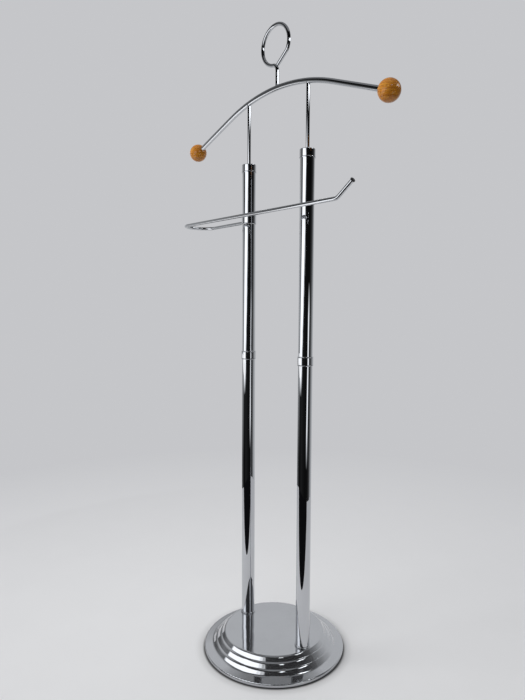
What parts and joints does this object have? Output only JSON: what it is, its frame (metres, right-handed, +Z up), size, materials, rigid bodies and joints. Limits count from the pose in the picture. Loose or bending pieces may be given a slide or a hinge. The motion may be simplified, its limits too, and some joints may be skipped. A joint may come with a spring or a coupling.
{
  "type": "valet stand",
  "caption": "Free-standing chrome valet stand: stepped round base, twin posts, swivelling trouser bar, sliding shoulder bar with wooden ball ends and a ring hook.",
  "frame": {"origin": "centre of the base's underside, on the floor", "axes": "+Z up; +X from the left post (the one with the trouser bar) to the right post; the trouser bar's front leg is on the -Y side"},
  "size_m": [0.4938, 0.25, 1.0839],
  "materials": {
    "chrome_cover": "mirror chrome plate on spun steel",
    "chrome_tube": "mirror chrome plate on steel tube",
    "chrome_trim": "mirror chrome plate on turned rings",
    "chrome_wire": "mirror chrome plate on bent rod",
    "cast_iron": "raw casting, painted black",
    "zinc_steel": "zinc plated",
    "black_foam": "closed-cell foam",
    "black_screw": "black oxide",
    "black_cap": "moulded",
    "nylon": "natural nylon",
    "lacquered_wood": "honey-orange lacquer over fine grain",
    "brass": "turned"
  },
  "bodies": {
    "stand": {"base_cover": "chrome_cover", "base_weight": "cast_iron", "base_plate": "zinc_steel", "foot_pad": "black_foam", "post_bolts": "zinc_steel", "post_washers": "zinc_steel", "left_ferrule": "chrome_trim", "right_ferrule": "chrome_trim", "left_foot_plug": "zinc_steel", "right_foot_plug": "zinc_steel", "left_lower_tube": "chrome_tube", "right_lower_tube": "chrome_tube", "left_joiner": "zinc_steel", "right_joiner": "zinc_steel", "left_middle_collar": "chrome_trim", "right_middle_collar": "chrome_trim", "left_upper_tube": "chrome_tube", "right_upper_tube": "chrome_tube", "swivel_joiner": "zinc_steel", "swivel_washers": "nylon", "left_top_tube": "chrome_tube", "left_cap": "chrome_trim", "right_cap": "chrome_trim", "left_bush": "nylon", "right_bush": "nylon", "lock_screws": "black_screw"},
    "trouser_swivel": {"swivel_collar": "chrome_trim", "trouser_bar": "chrome_wire", "bar_tip": "black_cap"},
    "hanger": {"left_rod": "chrome_wire", "right_rod": "chrome_wire", "left_rod_stop": "nylon", "right_rod_stop": "nylon", "shoulder_bar": "chrome_wire", "ball_inserts": "brass", "ball_studs": "zinc_steel", "left_ball": "lacquered_wood", "right_ball": "lacquered_wood", "ring_hook": "chrome_wire"}
  },
  "joints": [
    {"name": "hanger_height", "type": "slide", "parent": "stand", "child": "hanger", "axis": [0, 0, 1], "range_m": [-0.085, 0.065]},
    {"name": "trouser_bar_swivel", "type": "hinge", "parent": "stand", "child": "trouser_swivel", "pos_m": [-0.073, 0, 0.7665], "axis": [0, 0, 1], "range_deg": [-170, 15]}
  ]
}
